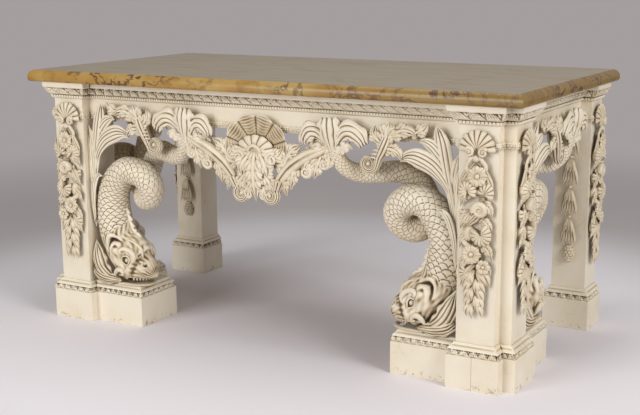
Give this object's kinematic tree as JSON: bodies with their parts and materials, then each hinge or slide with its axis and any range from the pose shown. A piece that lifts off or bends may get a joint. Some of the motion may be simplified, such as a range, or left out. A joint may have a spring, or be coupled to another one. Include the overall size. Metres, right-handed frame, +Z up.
{
  "type": "pier table",
  "caption": "Rectangular marble-topped table on a carved, cream-painted frame: notched square legs on plinths, coiled dolphins beside the front legs, and a shell and leaf apron.",
  "frame": {"origin": "on the floor, below the middle of the slab", "axes": "+X along the front, to the right as seen from the front; +Y to the back; +Z up"},
  "size_m": [1.804, 0.934, 0.88],
  "materials": {
    "cream_paint": "old cream paint over carved wood, brown glaze in the hollows, satin",
    "bare_wood": "bare aged pine, matt",
    "marble": "polished yellow marble with dark veins, the flat top worn to a grey satin",
    "screw_steel": "dull steel"
  },
  "bodies": {
    "frame": {"back_left_base_moulding": "cream_paint", "back_left_leg": "cream_paint", "back_left_leg_front_drop": "cream_paint", "back_left_leg_side_drop": "cream_paint", "back_left_plinth": "cream_paint", "back_rail": "bare_wood", "back_right_base_moulding": "cream_paint", "back_right_leg": "cream_paint", "back_right_leg_front_drop": "cream_paint", "back_right_leg_side_drop": "cream_paint", "back_right_plinth": "cream_paint", "carving_screws": "screw_steel", "corner_blocks": "bare_wood", "cross_bearers": "bare_wood", "front_band": "cream_paint", "front_cornice": "cream_paint", "front_left_arch": "cream_paint", "front_left_base_moulding": "cream_paint", "front_left_dolphin": "cream_paint", "front_left_dolphin_plinth": "cream_paint", "front_left_dolphin_tail": "cream_paint", "front_left_leg": "cream_paint", "front_left_leg_front_drop": "cream_paint", "front_left_leg_side_drop": "cream_paint", "front_left_plinth": "cream_paint", "front_left_reeds": "cream_paint", "front_left_scroll": "cream_paint", "front_rail": "cream_paint", "front_right_arch": "cream_paint", "front_right_base_moulding": "cream_paint", "front_right_dolphin": "cream_paint", "front_right_dolphin_plinth": "cream_paint", "front_right_dolphin_tail": "cream_paint", "front_right_leg": "cream_paint", "front_right_leg_front_drop": "cream_paint", "front_right_leg_side_drop": "cream_paint", "front_right_plinth": "cream_paint", "front_right_reeds": "cream_paint", "front_right_scroll": "cream_paint", "front_shell": "cream_paint", "left_band": "cream_paint", "left_cornice": "cream_paint", "left_dolphin": "cream_paint", "left_dolphin_plinth": "cream_paint", "left_dolphin_tail": "cream_paint", "left_rail": "cream_paint", "left_reeds": "cream_paint", "left_scroll": "cream_paint", "plinth_dowels": "bare_wood", "right_band": "cream_paint", "right_cornice": "cream_paint", "right_dolphin": "cream_paint", "right_dolphin_plinth": "cream_paint", "right_dolphin_tail": "cream_paint", "right_rail": "cream_paint", "right_reeds": "cream_paint", "right_scroll": "cream_paint", "tenon_pegs": "bare_wood"},
    "top": {"marble_slab": "marble"}
  },
  "joints": [
    {"name": "top_lift", "type": "slide", "parent": "frame", "child": "top", "axis": [0, 0, 1], "range_m": [0, 0.25]}
  ]
}
